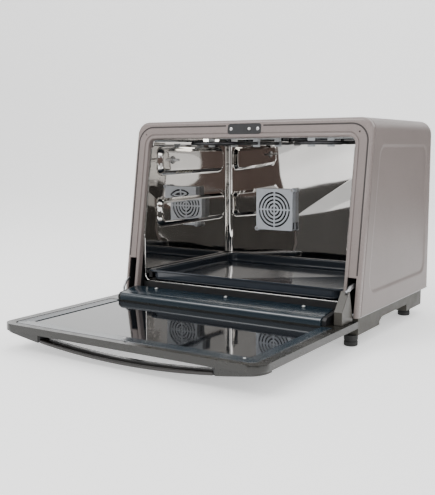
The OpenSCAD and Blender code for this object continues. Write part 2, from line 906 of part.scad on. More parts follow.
module check_arm_right() {
    check_arm(arm_r0, arm_r1, 82, 124);
}

// Wedge-shaped cover over the right hinge leaf
module hinge_cover_right() {
    x0 = slot_x0 + 1;
    x1 = slot_x1 - 1;
    relief = 0.2;
    color([0.5, 0.5, 0.5]) place() difference() {
        along_x(x0, x1)
            polygon([[-43, door_top], [-43, 17], [-17, 47.5], [-14, 47.5], [-1, 4], [-1, door_top]]);
        block([leaf_x0 - relief, -41, door_top - slack], [leaf_x1 + relief, 20, 17]);
        translate([arm_x0 - relief, hinge_y, hinge_z]) rotate([90, 0, 90])
            rotate([0, 0, 60]) rotate_extrude(angle = 66)
                translate([arm_r0 - relief, 0])
                    square([arm_r1 - arm_r0 + 2 * relief, arm_x1 - arm_x0 + 2 * relief]);
    }
}

// ---------------------------------------------------------------- door

// Plan of the open door, with round corners at the free edge
module door_plan(inset_side, inset_free, hinge_end, r) {
    half = body_w / 2 - inset_side;
    y0 = -door_reach + inset_free;
    translate([-half, y0 + r]) square([2 * half, hinge_end - y0 - r]);
    translate([-half + r, y0]) square([2 * (half - r), hinge_end - y0]);
    for (x = [-half + r, half - r])
        translate([x, y0 + r]) circle(r);
}

module door_layer(z0, z1) {
    translate([0, 0, z0]) linear_extrude(z1 - z0) children();
}

module door_frame() {
    shelf_w = 26;
    outer_inset = 7;
    color(base_olive) place() difference() {
        door_layer(door_bottom, door_top) door_plan(0, 0, door_hinge_end, corner_r);
        door_layer(shelf_z, door_top + slack) door_plan(rim_side, rim_free, rail_y, 12);
        door_layer(door_bottom - slack, door_top) door_plan(rim_side + shelf_w, rim_free + shelf_w, rail_y - 12, 6);
        door_layer(door_bottom - slack, door_bottom + outer_glass_t)
            door_plan(outer_inset, outer_inset, -20, corner_r - outer_inset);
        translate([plunger_x, striker_y, door_bottom + outer_glass_t + slack]) cylinder(r = striker_r, h = door_t);
        for (s = trim_screw_pos) translate([s.x, s.y, shelf_z - 3]) cylinder(r = 1.3, h = 4);
        handle_screw_holes();
        dial_hole();
    }
}

// Screws that run from the door's shelf, through the outer glass, into the handle's mounts
handle_screw_pos = [[-214, -300], [214, -300]];
handle_screw_z0 = door_bottom - 6;

module handle_screw_holes() {
    for (p = handle_screw_pos)
        translate([p.x, p.y, handle_screw_z0]) cylinder(r = 2, h = shelf_z - handle_screw_z0 + slack);
}

// Height up the slope of the hinge axis
hinge_u = hinge_y * sin(rake) + hinge_z * cos(rake);
striker_y = hinge_y - (plunger_u - hinge_u);  // where the shut door meets the switch's pin
striker_r = 3.4;
trim_screw_pos = [for (x = [-218, -9, 206]) [x, -288]];
trim_h = 4.6;                    // height of the inner trim above the shelf
inner_glass_t = 2.6;
trim_screw_seat = shelf_z + 3.6; // the trim's screws sit in shallow pockets

// Inner trim: a band between the rim and the glass that stands above the glass
module door_inner_trim() {
    color([0.36, 0.39, 0.45]) place() difference() {
        door_layer(shelf_z, shelf_z + trim_h)
            door_plan(rim_side + trim_gap, rim_free + trim_gap, rail_y - 0.2, 11);
        translate([0, 0, shelf_z - slack]) linear_extrude(10)
            difference() {
                square([2 * glass_half, -2 * glass_free_y], center = true);
                translate([0, glass_half]) square([2 * body_w, 1], center = true);
            }
        translate([plunger_x, striker_y, shelf_z - slack]) cylinder(r = striker_r, h = trim_h + 2 * slack);
        for (s = trim_screw_pos) {
            translate([s.x, s.y, shelf_z - slack]) cylinder(r = 1.3, h = trim_h);
            translate([s.x, s.y, trim_screw_seat]) cylinder(r = 2.9, h = trim_h);
        }
    }
}

module door_trim_screws() {
    color(steel) place()
        for (s = trim_screw_pos)
            translate([s.x, s.y, trim_screw_seat]) screw(2.6, 1, 1.3, 5.6);
}

module door_inner_glass() {
    gap = 0.3;
    color(glass_dark) place()
        block([-glass_half + gap, glass_free_y + gap, shelf_z],
            [glass_half - gap, rail_y - 0.3, shelf_z + inner_glass_t]);
}

module door_outer_glass() {
    gap = 0.3;
    color(glass_dark) place() difference() {
        door_layer(door_bottom, door_bottom + outer_glass_t)
            door_plan(7 + gap, 7 + gap, -20 - gap, corner_r - 7 - gap);
        handle_screw_holes();
        dial_hole();
    }
}

// Control housing's body, rounded along its front edge; inset gives the hollow inside it
module housing_body(inset) {
    half = housing_half - inset;
    r = housing_nose_r - inset;
    front = rail_y + inset;
    back = housing_back - inset;
    nose = [rail_y + housing_nose_r, housing_front_z - housing_nose_r];
    rod_x(nose.x, nose.y, r, -half, half);
    along_x(-half, half)
        polygon([
            [front, door_top], [front, nose.y], nose, [nose.x, nose.y + r],
            [back, housing_back_z - inset], [back, door_top],
        ]);
}

// Places a screw or its hole on the housing's sloping top
module at_housing_screws() {
    for (x = housing_screw_x)
        translate([x, housing_screw_y, housing_screw_z]) rotate([housing_slope, 0, 0]) children();
}

module control_housing() {
    color([0.28, 0.31, 0.37]) place() difference() {
        housing_body(0);
        intersection() {
            housing_body(housing_wall);
            block([-body_w, rail_y, door_top - slack], [body_w, 0, body_h]);
        }
        at_housing_screws() translate([0, 0, -4]) cylinder(r = 1.6, h = 8);
    }
}

module control_housing_screws() {
    color(steel) place() at_housing_screws() screw(3.4, 1.8, 1.6, 5);
}

// Board in the housing, with the dial's encoder under it
module control_board() {
    encoder_half = 7;
    color([0.1, 0.35, 0.2]) place() {
        block([-120, -50, board_z], [120, -24, board_z + 1.6]);
        for (x = [-80, -20, 40, 90]) block([x, -46, board_z + 1.6], [x + 18, -30, 4]);
        for (x = [-110, 110], y = [-47, -27])
            translate([x, y, door_top]) cylinder(r = 2.5, h = board_z - door_top);
        difference() {
            block([dial_pos.x - encoder_half, dial_pos.y - encoder_half, door_top],
                [dial_pos.x + encoder_half, dial_pos.y + encoder_half, board_z]);
            translate([dial_pos.x, dial_pos.y, door_top - slack])
                cylinder(r = dial_shaft_r + running_gap, h = 4);
        }
    }
}

module dial_hole() {
    translate([dial_pos.x, dial_pos.y, door_bottom - slack])
        cylinder(r = dial_shaft_r + 0.4, h = door_t + 2 * slack);
}

// Dial on the door's outer face, with its shaft up into the encoder
module control_dial() {
    top = door_bottom - dial_gap;
    round = 2;
    color("silver") place() translate([dial_pos.x, dial_pos.y, 0]) {
        translate([0, 0, top - 1]) cylinder(r = dial_shaft_r, h = door_top + 2 - top);
        translate([0, 0, top - dial_h])
            rotate_extrude() {
                square([dial_r - round, dial_h]);
                translate([0, round]) square([dial_r, dial_h - round]);
                translate([dial_r - round, round]) circle(round);
            }
    }
}

module housing_end_caps() {
    color(black) place()
        both_sides() along_x(housing_half, cap_half)
            polygon([[-56, door_top], [-56, 3], [-51, 7.5], [housing_back, 13], [housing_back, door_top]]);
}

// ---------------------------------------------------------------- handle

// Front view of the handle's bow, from the door down to an arc lowered by sink
module bow(x0, x1, sink) {
    intersection() {
        translate([x0, door_bottom - handle_drop - 2]) square([x1 - x0, handle_drop + 2]);
        translate([0, door_bottom - handle_drop + sink + bow_r]) circle(bow_r, $fn = 360);
    }
}

module handle_bar() {
    color([0.16, 0.13, 0.11]) place() along_y(handle_front, handle_back) difference() {
        bow(-bar_half, bar_half, 0);
        translate([0, door_bottom - handle_drop + bow_r]) circle(bow_r - bar_t, $fn = 360);
    }
}

// Blocks at both ends, rounded in plan to follow the door's corners
module handle_mounts() {
    color(base_olive) place() difference() {
        intersection() {
            along_y(handle_front, handle_back) {
                bow(mount_in, body_w / 2, 0);
                bow(-body_w / 2, -mount_in, 0);
            }
            translate([0, 0, -body_h]) linear_extrude(body_h)
                door_plan(0, door_reach + handle_front, 0, 18);
        }
        handle_screw_holes();
    }
}

module handle_spacers() {
    color(black) place() along_y(handle_front + 1, handle_back) {
        bow(bar_half, mount_in, 0.6);
        bow(-mount_in, -bar_half, 0.6);
    }
}

module handle_screws() {
    color(steel) place()
        for (p = handle_screw_pos)
            translate([p.x, p.y, handle_screw_z0]) cylinder(r = 2, h = shelf_z - 0.4 - handle_screw_z0);
}

// ---------------------------------------------------------------- tray, board and gland

module tray_plan(half, y0, y1, r) {
    rounded(-half, y0, half, y1, r);
}

module baking_tray() {
    lip = tray_rim - tray_half;
    color([0.2, 0.23, 0.28]) place() difference() {
        union() {
            translate([0, 0, tray_z]) linear_extrude(tray_top - tray_z) tray_plan(tray_half, tray_y0, tray_y1, 16);
            translate([0, 0, tray_top - tray_t]) linear_extrude(tray_t)
                tray_plan(tray_rim, tray_y0, tray_y1 + lip / 2, 16);
        }
        translate([0, 0, tray_z + tray_t]) linear_extrude(tray_top)
            tray_plan(tray_half - tray_t, tray_y0 + tray_t, tray_y1 - tray_t, 16 - tray_t);
    }
}

module power_board() {
    z = -8;
    color([0.1, 0.35, 0.2]) place() {
        block([-120, 200, z], [60, 320, z + 1.6]);
        for (x = [-100, -40, 20]) block([x, 220, z - 16], [x + 30, 260, z]);
        for (x = [-112, 52], y = [208, 312]) translate([x, y, z + 1.6]) cylinder(r = 3, h = -pan_t - z - 1.6);
    }
}

// Round cord gland in the rear panel
module cord_gland() {
    y0 = body_d + panel_t;
    color(black) place() translate([gland_pos.x, y0, gland_pos.y]) rotate([-90, 0, 0]) difference() {
        union() {
            translate([0, 0, -12]) cylinder(r = 9, h = 12);
            cylinder(r = 13, h = 3);
            cylinder(r1 = 9, r2 = 6.5, h = 16);
        }
        translate([0, 0, -6]) cylinder(r = 4, h = 30);
    }
}

// ---------------------------------------------------------------- nodes

outer_shell();
rear_panel();
rear_housing();
rear_screws();
base_pan();
plinth();
feet();
front_frame();
seam_strip();
door_gasket();
front_sill();
cavity_liner();
cavity_back();
tray_guides();
insulation_blanket();
fan_cover();
fan_cover_screws();
fan_motor();
motor_bracket();
top_heater();
bottom_heater();
heater_brackets();
lamp_lens();
lamp_bulb();
lamp_holder();
temperature_probe();
latch_plate();
latch_screws();
door_switch();
hinge_pocket_left();
hinge_pocket_right();
hinge_pin_left();
hinge_pin_right();
power_board();
cord_gland();
fan_impeller();
motor_shaft();
cooling_fan();
door_switch_plunger();
baking_tray();
control_dial();
door_frame();
door_inner_trim();
door_inner_glass();
door_outer_glass();
door_trim_screws();
control_housing();
control_housing_screws();
control_board();
housing_end_caps();
hinge_cover_right();
hinge_leaf_left();
hinge_leaf_right();
check_arm_left();
check_arm_right();
handle_bar();
handle_mounts();
handle_spacers();
handle_screws();
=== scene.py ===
"""Countertop air fryer oven with its door open: looks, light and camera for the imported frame."""
import math

import bmesh
import bpy
from mathutils import Matrix, Vector


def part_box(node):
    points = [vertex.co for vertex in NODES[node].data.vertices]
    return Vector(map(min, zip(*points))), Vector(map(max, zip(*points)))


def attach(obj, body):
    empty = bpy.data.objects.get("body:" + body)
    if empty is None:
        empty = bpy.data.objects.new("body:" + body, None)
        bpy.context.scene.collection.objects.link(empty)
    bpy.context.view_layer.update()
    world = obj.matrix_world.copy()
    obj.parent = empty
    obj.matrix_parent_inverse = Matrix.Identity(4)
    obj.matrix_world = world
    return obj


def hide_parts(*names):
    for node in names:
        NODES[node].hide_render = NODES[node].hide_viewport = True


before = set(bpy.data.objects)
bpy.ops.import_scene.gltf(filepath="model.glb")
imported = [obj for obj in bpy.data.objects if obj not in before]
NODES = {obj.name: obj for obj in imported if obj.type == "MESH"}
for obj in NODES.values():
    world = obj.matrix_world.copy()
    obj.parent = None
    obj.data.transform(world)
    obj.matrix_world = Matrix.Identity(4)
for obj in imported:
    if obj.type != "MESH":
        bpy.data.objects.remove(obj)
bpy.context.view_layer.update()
MM = 0.001
WELD_GAP = 0.02 * MM                              # points this close are one point
FLAT_ANGLE = math.radians(0.4)                    # faces that differ by less are one face

# The oven frame: millimetres from the lower front edge of the body, as in the CAD.
SILL_FRONT = 1.5                                  # the sill starts this far behind the front edge
FRONT_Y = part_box("front_sill")[0].y - SILL_FRONT * MM
BASE_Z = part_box("front_sill")[0].z
RAKE = math.radians(8.9)

BODY_HALF = 250
BODY_H = 333
BODY_D = 364
BODY_R = 24                                       # round of the body's long upper corners
CAVITY_HALF = 217
CAVITY_FLOOR = 20
CAVITY_TOP = 303
CAVITY_BACK = 339
MOUTH_HALF = 220
MOUTH_TOP = 304.7
MOUTH_R = 13
BEAD_W = 7
LIP_W = 7                                         # the frame's inner lip lies this far behind its face


def at(x, y, z):
    """Point of the oven frame, in millimetres, as metres in the row frame."""
    return Vector((x * MM, FRONT_Y + y * MM, BASE_Z + z * MM))


def raked_y(z, w):
    """Depth of the leaning plane that lies w behind the front face, at height z."""
    return z * math.tan(RAKE) + w / math.cos(RAKE)


# ---------------------------------------------------------------- materials

def material(name, color, roughness, metallic=0.0, **sockets):
    """A Principled material with its constant values on the shader's own sockets."""
    mat = bpy.data.materials.new(name)
    mat.use_nodes = True
    shader = mat.node_tree.nodes["Principled BSDF"]
    shader.inputs["Base Color"].default_value = (*color, 1)
    shader.inputs["Roughness"].default_value = roughness
    shader.inputs["Metallic"].default_value = metallic
    for socket, value in sockets.items():
        shader.inputs[socket.replace("_", " ")].default_value = value
    return mat


def noise(mat, scale, stretch=(1, 1, 1), detail=4.0):
    """Noise in object space, stretched along the axes; returns its value socket."""
    nodes, links = mat.node_tree.nodes, mat.node_tree.links
    coords = nodes.new("ShaderNodeTexCoord")
    mapping = nodes.new("ShaderNodeMapping")
    mapping.inputs["Scale"].default_value = stretch
    tex = nodes.new("ShaderNodeTexNoise")
    tex.inputs["Scale"].default_value = scale
    tex.inputs["Detail"].default_value = detail
    tex.inputs["Roughness"].default_value = 0.55
    links.new(coords.outputs["Object"], mapping.inputs["Vector"])
    links.new(mapping.outputs["Vector"], tex.inputs["Vector"])
    return tex.outputs["Fac"]


def vary_roughness(mat, value, low, high):
    """Roughness that wanders between low and high with a noise value."""
    nodes, links = mat.node_tree.nodes, mat.node_tree.links
    ranged = nodes.new("ShaderNodeMapRange")
    ranged.inputs["From Min"].default_value = 0.3
    ranged.inputs["From Max"].default_value = 0.7
    ranged.inputs["To Min"].default_value = low
    ranged.inputs["To Max"].default_value = high
    links.new(value, ranged.inputs["Value"])
    links.new(ranged.outputs["Result"], nodes["Principled BSDF"].inputs["Roughness"])


def vary_color(mat, value, low, high):
    """Base colour that wanders between two colours with a noise value."""
    nodes, links = mat.node_tree.nodes, mat.node_tree.links
    ramp = nodes.new("ShaderNodeValToRGB")
    ramp.color_ramp.elements[0].position = 0.35
    ramp.color_ramp.elements[1].position = 0.65
    ramp.color_ramp.elements[0].color = (*low, 1)
    ramp.color_ramp.elements[1].color = (*high, 1)
    links.new(value, ramp.inputs["Fac"])
    links.new(ramp.outputs["Color"], nodes["Principled BSDF"].inputs["Base Color"])


def bump(mat, value, distance):
    """Surface relief from a noise value; a second call stacks on the first."""
    nodes, links = mat.node_tree.nodes, mat.node_tree.links
    relief = nodes.new("ShaderNodeBump")
    relief.inputs["Distance"].default_value = distance
    normal = nodes["Principled BSDF"].inputs["Normal"]
    if normal.is_linked:
        links.new(normal.links[0].from_socket, relief.inputs["Normal"])
    links.new(value, relief.inputs["Height"])
    links.new(relief.outputs["Normal"], normal)


def tone(color, factor):
    """The colour made lighter or darker by a factor."""
    return tuple(min(1.0, c * factor) for c in color)


def paint(name, color, roughness, grain=0.00006, sparkle=0.06, **sockets):
    """Stoved paint: slight orange peel and a fine sparkle in its roughness."""
    mat = material(name, color, roughness, **sockets)
    bump(mat, noise(mat, 260, detail=2.0), grain)
    vary_roughness(mat, noise(mat, 900, detail=1.0), roughness - sparkle, roughness + sparkle)
    vary_color(mat, noise(mat, 14, detail=3.0), tone(color, 0.965), tone(color, 1.035))
    return mat


def moulded(name, color, roughness, grain=0.0001):
    """Moulded plastic or rubber with a fine spark-eroded texture."""
    mat = material(name, color, roughness)
    bump(mat, noise(mat, 1100, detail=2.0), grain)
    vary_roughness(mat, noise(mat, 60), roughness - 0.06, roughness + 0.06)
    vary_color(mat, noise(mat, 30), tone(color, 0.9), tone(color, 1.12))
    return mat


def steel(name, color, roughness, brushed=(1, 1, 1), scratch=0.00001, wave=0.0):
    """Bare sheet steel; brushed stretches the grain along the smaller factors."""
    mat = material(name, color, roughness, metallic=1.0)
    grain = noise(mat, 420, brushed, detail=3.0)
    bump(mat, grain, scratch)
    vary_roughness(mat, grain, roughness * 0.75, roughness * 1.35)
    vary_color(mat, noise(mat, 9), tone(color, 0.94), tone(color, 1.04))
    if wave:
        bump(mat, noise(mat, 7, detail=1.0), wave)
    return mat


SHELL = paint("shell_paint", (0.165, 0.138, 0.130), 0.40)
# The frame paint is the shell paint made 15% lighter: painted light that makes the front face brighter
# than the sides.
FRAME_WITH_PAINTED_LIGHT = paint("frame_paint", (0.190, 0.159, 0.150), 0.28)
COVER = paint("cover_paint", (0.050, 0.046, 0.039), 0.34)
TRIM = paint("trim_paint", (0.010, 0.020, 0.029), 0.20, grain=0.000001, sparkle=0.01, IOR=1.75)
BLACK_PAINT = paint("black_paint", (0.012, 0.012, 0.013), 0.45)
ENAMEL = paint("tray_enamel", (0.020, 0.025, 0.033), 0.12, grain=0.000001, sparkle=0.01)
MOTOR = paint("motor_paint", (0.09, 0.09, 0.095), 0.5)
FAN_COVER = paint("fan_cover_paint", (0.70, 0.74, 0.80), 0.36)
OLIVE = moulded("olive_plastic", (0.012, 0.0115, 0.0095), 0.24, grain=0.000002)
PLINTH = moulded("plinth_plastic", (0.034, 0.031, 0.024), 0.5)
BLACK = moulded("black_plastic", (0.010, 0.010, 0.011), 0.42)
WHITE = moulded("white_plastic", (0.75, 0.75, 0.72), 0.4)
HANDLE = moulded("handle_plastic", (0.010, 0.008, 0.007), 0.20, grain=0.000002)
RUBBER = moulded("black_rubber", (0.012, 0.012, 0.012), 0.7)
SILICONE = moulded("black_silicone", (0.022, 0.018, 0.017), 0.6)
WOOL = moulded("glass_wool", (0.55, 0.50, 0.34), 0.95, grain=0.002)
BOARD = moulded("board_green", (0.01, 0.09, 0.04), 0.5)
LINER = steel("liner_steel", (0.66, 0.645, 0.625), 0.025, scratch=0.0000005, wave=0.0004)
DIAL = steel("dial_aluminium", (0.62, 0.62, 0.63), 0.28)
SCREW = steel("screw_steel", (0.58, 0.58, 0.58), 0.3)
HINGE = steel("hinge_steel", (0.52, 0.53, 0.55), 0.3, brushed=(1, 1, 0.1))
ZINC = steel("zinc_sheet", (0.50, 0.52, 0.54), 0.38)
HEATER = steel("heater_steel", (0.10, 0.10, 0.105), 0.4)
FAN_BLACK = steel("fan_aluminium", (0.06, 0.06, 0.065), 0.45)
GLASS = material("dark_glass", (0.006, 0.007, 0.009), 0.035, IOR=2.4)
vary_roughness(GLASS, noise(GLASS, 25), 0.02, 0.06)
bump(GLASS, noise(GLASS, 5, detail=1.0), 0.0003)
LAMP_GLOW = (1, 0.96, 0.88, 1)
LAMP_GLASS = material(
    "lamp_glass", (0.9, 0.88, 0.8), 0.25, Emission_Color=LAMP_GLOW, Emission_Strength=4.0
)
vary_roughness(LAMP_GLASS, noise(LAMP_GLASS, 200), 0.15, 0.4)


# ---------------------------------------------------------------- mesh helpers

class Skin:
    """Collects grids of points and turns them into one mesh."""

    def __init__(self):
        self.verts = []
        self.faces = []

    def grid(self, rows, closed=False, caps=(False, False)):
        """Faces between rows of points; closed joins each row's ends, caps fill the end rows."""
        start, n = len(self.verts), len(rows[0])
        self.verts.extend(p for row in rows for p in row)
        for j in range(len(rows) - 1):
            for i in range(n if closed else n - 1):
                k = (i + 1) % n
                low, high = start + j * n, start + (j + 1) * n
                self.faces.append((low + i, low + k, high + k, high + i))
        if caps[0]:
            self.faces.append(tuple(range(start, start + n)))
        if caps[1]:
            self.faces.append(tuple(range(start + (len(rows) - 1) * n, start + len(rows) * n)))

    def mesh(self, name, sharp=35):
        """One mesh, smooth except at edges sharper than that angle in degrees."""
        mesh = bpy.data.meshes.new(name)
        mesh.from_pydata(self.verts, [], self.faces)
        bm = bmesh.new()
        bm.from_mesh(mesh)
        bmesh.ops.remove_doubles(bm, verts=bm.verts, dist=WELD_GAP / 2)
        bmesh.ops.recalc_face_normals(bm, faces=bm.faces)
        bm.to_mesh(mesh)
        bm.free()
        mesh.shade_smooth()
        mesh.set_sharp_from_angle(angle=math.radians(sharp))
        return mesh


def piece(name, mesh, mat, body, node_names):
    """Adds a mesh as a visible piece that rides on a body and stands for CAD nodes."""
    obj = bpy.data.objects.new(name, mesh)
    bpy.context.scene.collection.objects.link(obj)
    mesh.materials.clear()
    mesh.materials.append(mat)
    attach(obj, body)
    if node_names:
        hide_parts(*node_names)
    return obj


def soften(obj, width, segments=3, angle=32):
    """Rounds the sharp edges of an object; width is in millimetres."""
    bevel = obj.modifiers.new("edges", "BEVEL")
    bevel.width = width * MM
    bevel.segments = segments
    bevel.limit_method = "ANGLE"
    bevel.angle_limit = math.radians(angle)
    bevel.harden_normals = True


def thicken(obj, thickness, outward=False):
    """Gives a skin its sheet thickness in millimetres, grown inwards or outwards."""
    solid = obj.modifiers.new("sheet", "SOLIDIFY")
    solid.thickness = thickness * MM
    solid.offset = 1 if outward else -1


def carve(obj, cutter):
    """Cuts a closed mesh out of an object and keeps the result as its mesh."""
    tool = bpy.data.objects.new("cutter", cutter)
    bpy.context.scene.collection.objects.link(tool)
    cut = obj.modifiers.new("cut", "BOOLEAN")
    cut.operation = "DIFFERENCE"
    cut.solver = "EXACT"
    cut.object = tool
    bpy.context.view_layer.update()
    graph = bpy.context.evaluated_depsgraph_get()
    result = bpy.data.meshes.new_from_object(obj.evaluated_get(graph), depsgraph=graph)
    obj.modifiers.clear()
    obj.data = result
    bpy.data.objects.remove(tool)


def arc(cx, cy, r, start, end, steps):
    """Points of an arc, angles in degrees."""
    angles = [math.radians(start + (end - start) * i / steps) for i in range(steps + 1)]
    return [(cx + r * math.cos(a), cy + r * math.sin(a)) for a in angles]


def between(a, b, steps):
    """Points that split the way from a to b, without its two ends."""
    return [tuple(Vector(a).lerp(Vector(b), i / steps)) for i in range(1, steps)]


def arch_line(half, bottom, top, r, leg=1, across=1, turns=10):
    """Upright outline from the lower right, over the top, to the lower left."""
    right = arc(half - r, top - r, r, 0, 90, turns)
    left = arc(-half + r, top - r, r, 90, 180, turns)
    foot_right, foot_left = (half, bottom), (-half, bottom)
    return (
        [foot_right] + between(foot_right, right[0], leg) + right
        + between(right[-1], left[0], across)
        + left + between(left[-1], foot_left, leg) + [foot_left]
    )


def rounded_line(x0, y0, x1, y1, r, upright=1, level=1, turns=8):
    """Closed outline of a rectangle with round corners, anticlockwise from the lower right."""
    corners = [
        arc(x1 - r, y0 + r, r, -90, 0, turns),
        arc(x1 - r, y1 - r, r, 0, 90, turns),
        arc(x0 + r, y1 - r, r, 90, 180, turns),
        arc(x0 + r, y0 + r, r, 180, 270, turns),
    ]
    line = []
    for i, corner in enumerate(corners):
        line += corner + between(corner[-1], corners[(i + 1) % 4][0], upright if i % 2 == 0 else level)
    return line


def smooth(t):
    """Eases from 0 to 1 as t goes from 0 to 1."""
    t = max(0.0, min(1.0, t))
    return t * t * (3 - 2 * t)


def outline_distance(p, corners, r):
    """Signed distance to a convex outline, below 0 inside; corner centres run anticlockwise."""
    nearest, inside = math.inf, True
    for i, a in enumerate(corners):
        b = corners[(i + 1) % len(corners)]
        edge, rel = (b[0] - a[0], b[1] - a[1]), (p[0] - a[0], p[1] - a[1])
        if edge[0] * rel[1] - edge[1] * rel[0] < 0:
            inside = False
        t = max(0.0, min(1.0, (rel[0] * edge[0] + rel[1] * edge[1]) / (edge[0] ** 2 + edge[1] ** 2)))
        nearest = min(nearest, math.hypot(rel[0] - t * edge[0], rel[1] - t * edge[1]))
    return (-nearest if inside else nearest) - r


def axes_about(axis):
    """Unit vectors along an axis and across it."""
    axis = Vector(axis).normalized()
    side = axis.orthogonal().normalized()
    return axis, side, axis.cross(side)


def turned(skin, centre, axis, profile, steps=40, ripple=None):
    """Adds a turned shape: profile holds (radius, height) pairs along the axis, in millimetres."""
    axis, side, up = axes_about(axis)
    rows = []
    for r, h in profile:
        row = []
        for i in range(steps):
            a = 2 * math.pi * i / steps
            grow = ripple(a, r, h) if ripple else 0
            outwards = side * math.cos(a) + up * math.sin(a)
            row.append(centre + outwards * (r + grow) * MM + axis * h * MM)
        rows.append(row)
    skin.grid(rows, closed=True, caps=(True, True))


def cross_screw(skin, centre, axis, head_r, head_h, shank_r, shank_l):
    """Adds a domed screw with a cross recess; its head's underside sits at centre."""
    axis, side, up = axes_about(axis)
    steps, rings = 48, 14
    arm_half, arm_reach, recess = 0.17 * head_r, 0.62 * head_r, 0.75 * head_h

    def ring(r, height_of):
        row = []
        for i in range(steps):
            a = 2 * math.pi * i / steps
            x, y = r * math.cos(a), r * math.sin(a)
            row.append(centre + (side * x + up * y + axis * height_of(x, y)) * MM)
        return row

    def top(x, y):
        d = math.hypot(x, y) / head_r
        dome = head_h * (1 - 0.65 * d ** 2.4)
        along, beside = max(abs(x), abs(y)), min(abs(x), abs(y))
        beside_arm = smooth((arm_half * 1.35 - beside) / (arm_half * 0.7))
        along_arm = smooth((arm_reach - along) / (0.2 * head_r))
        return dome - recess * beside_arm * along_arm

    rows = [ring(shank_r, lambda x, y: -shank_l)]
    rows += [ring(r, lambda x, y: 0) for r in (shank_r, head_r * 0.97)]
    rows += [ring(head_r * (1 - i / rings), top) for i in range(rings)]
    skin.grid(rows, closed=True, caps=(True, True))


# ---------------------------------------------------------------- pieces kept from the CAD

def wear(node, mat, edge):
    """Gives a CAD node a material and softly rounded edges of that radius in millimetres."""
    obj = NODES[node]
    obj.data.materials.clear()
    obj.data.materials.append(mat)
    weld = obj.modifiers.new("weld", "WELD")
    weld.merge_threshold = WELD_GAP
    planar = obj.modifiers.new("planar", "DECIMATE")
    planar.decimate_type = "DISSOLVE"
    planar.angle_limit = FLAT_ANGLE
    if edge:
        soften(obj, edge, segments=2)


# Node, material, and radius of its softened edges in millimetres.
CAD_LOOKS = [
    ("rear_panel", SHELL, 0.3),
    ("rear_housing", BLACK_PAINT, 0.7),
    ("base_pan", ZINC, 0.3),
    ("plinth", PLINTH, 1.2),
    ("seam_strip", BLACK_PAINT, 0),
    ("door_gasket", SILICONE, 0.5),
    ("front_sill", BLACK_PAINT, 0.4),
    ("tray_guides", BLACK, 0.6),
    ("insulation_blanket", WOOL, 0),
    ("fan_cover", FAN_COVER, 0.35),
    ("fan_motor", MOTOR, 0.8),
    ("motor_bracket", ZINC, 0.3),
    ("top_heater", HEATER, 0),
    ("bottom_heater", HEATER, 0),
    ("heater_brackets", ZINC, 0.2),
    ("lamp_lens", LAMP_GLASS, 0),
    ("lamp_bulb", LAMP_GLASS, 0),
    ("lamp_holder", ZINC, 0.3),
    ("temperature_probe", SCREW, 0.3),
    ("latch_plate", BLACK, 0.3),
    ("door_switch", BLACK, 0.3),
    ("hinge_pocket_left", BLACK_PAINT, 0),
    ("hinge_pocket_right", BLACK_PAINT, 0),
    ("hinge_pin_left", HINGE, 0.2),
    ("hinge_pin_right", HINGE, 0.2),
    ("power_board", BOARD, 0.2),
    ("cord_gland", BLACK, 0.5),
    ("fan_impeller", FAN_BLACK, 0.2),
    ("motor_shaft", HINGE, 0.3),
    ("cooling_fan", BLACK, 0.2),
    ("door_switch_plunger", WHITE, 0.3),
    ("door_frame", OLIVE, 1.4),
    ("door_inner_glass", GLASS, 0.4),
    ("door_outer_glass", GLASS, 0.6),
    ("control_board", BOARD, 0.1),
    ("housing_end_caps", BLACK, 0.8),
    ("hinge_cover_right", COVER, 1.2),
    ("hinge_leaf_left", HINGE, 0.3),
    ("hinge_leaf_right", HINGE, 0.3),
    ("check_arm_left", HINGE, 0.3),
    ("check_arm_right", HINGE, 0.3),
    ("handle_bar", HANDLE, 2.4),
    ("handle_mounts", OLIVE, 1.4),
    ("handle_spacers", BLACK, 1.4),
    ("handle_screws", SCREW, 0.2),
]
for node_name, node_material, node_edge in CAD_LOOKS:
    wear(node_name, node_material, node_edge)


# ---------------------------------------------------------------- body

SHELL_FRONT_W = 13.6                              # the shell starts this far behind the raked face
SIDE_PANEL_FRONT = 44
SIDE_PANEL_Z = (36, BODY_H - 48)
SIDE_PANEL_BACK = BODY_D - 33
SIDE_PANEL_R = 22
SIDE_PANEL_DEPTH = 1.7
SIDE_PANEL_SLOPE = 5.0


def side_panel_distance(y, z):
    """Signed distance to the outline of the panel pressed into each side."""
    r = SIDE_PANEL_R
    run = r / math.cos(RAKE)
    z0, z1 = SIDE_PANEL_Z[0] + r, SIDE_PANEL_Z[1] - r
    y_back = SIDE_PANEL_BACK - r
    front_low = SIDE_PANEL_FRONT + SIDE_PANEL_Z[0] * math.tan(RAKE) + run
    front_high = SIDE_PANEL_FRONT + z1 * math.tan(RAKE) + run
    corners = [(front_low, z0), (y_back, z0), (y_back, z1), (front_high, z1)]
    return outline_distance((y, z), corners, r)


def shell_point(x, y, z):
    """Point of the shell, sunk where it belongs to a side panel."""
    if abs(x) > BODY_HALF - 1:
        sink = SIDE_PANEL_DEPTH * smooth(0.5 - side_panel_distance(y, z) / SIDE_PANEL_SLOPE)
        x -= math.copysign(sink, x)
    return at(x, y, z)


